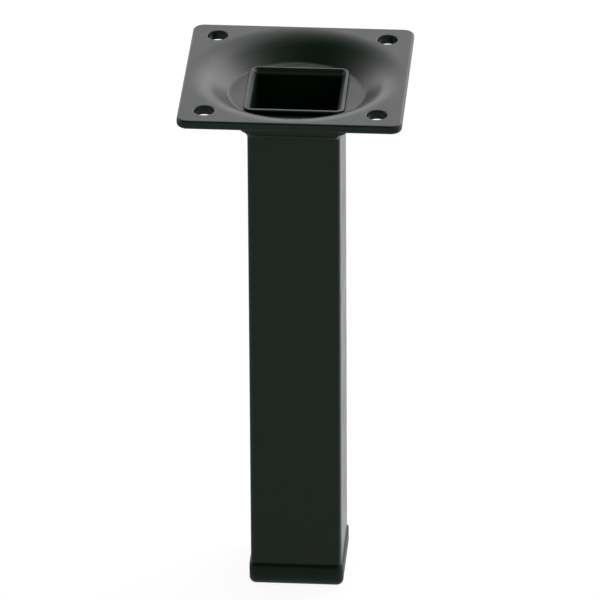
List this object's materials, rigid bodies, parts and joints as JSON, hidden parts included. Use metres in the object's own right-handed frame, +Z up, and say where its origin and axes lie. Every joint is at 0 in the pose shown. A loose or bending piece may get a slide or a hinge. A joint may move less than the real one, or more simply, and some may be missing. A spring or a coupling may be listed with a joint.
{
  "type": "table leg",
  "caption": "Square-tube table leg with a dished square mounting plate on top and a plastic cap at the foot.",
  "frame": {"origin": "middle of the foot's sole, on the floor", "axes": "+Z up along the tube towards the mounting plate, X and Y square to the plate's edges"},
  "size_m": [0.06, 0.06, 0.15],
  "materials": {
    "plate_coat": "semi-gloss black powder coat",
    "tube_coat": "semi-gloss black powder coat",
    "bead_coat": "semi-gloss black powder coat over a weld",
    "cap_plastic": "fine-grained moulded plastic"
  },
  "bodies": {
    "root": {"mounting_plate": "plate_coat", "leg_tube": "tube_coat", "weld_bead": "bead_coat", "foot_cap": "cap_plastic"}
  },
  "joints": []
}
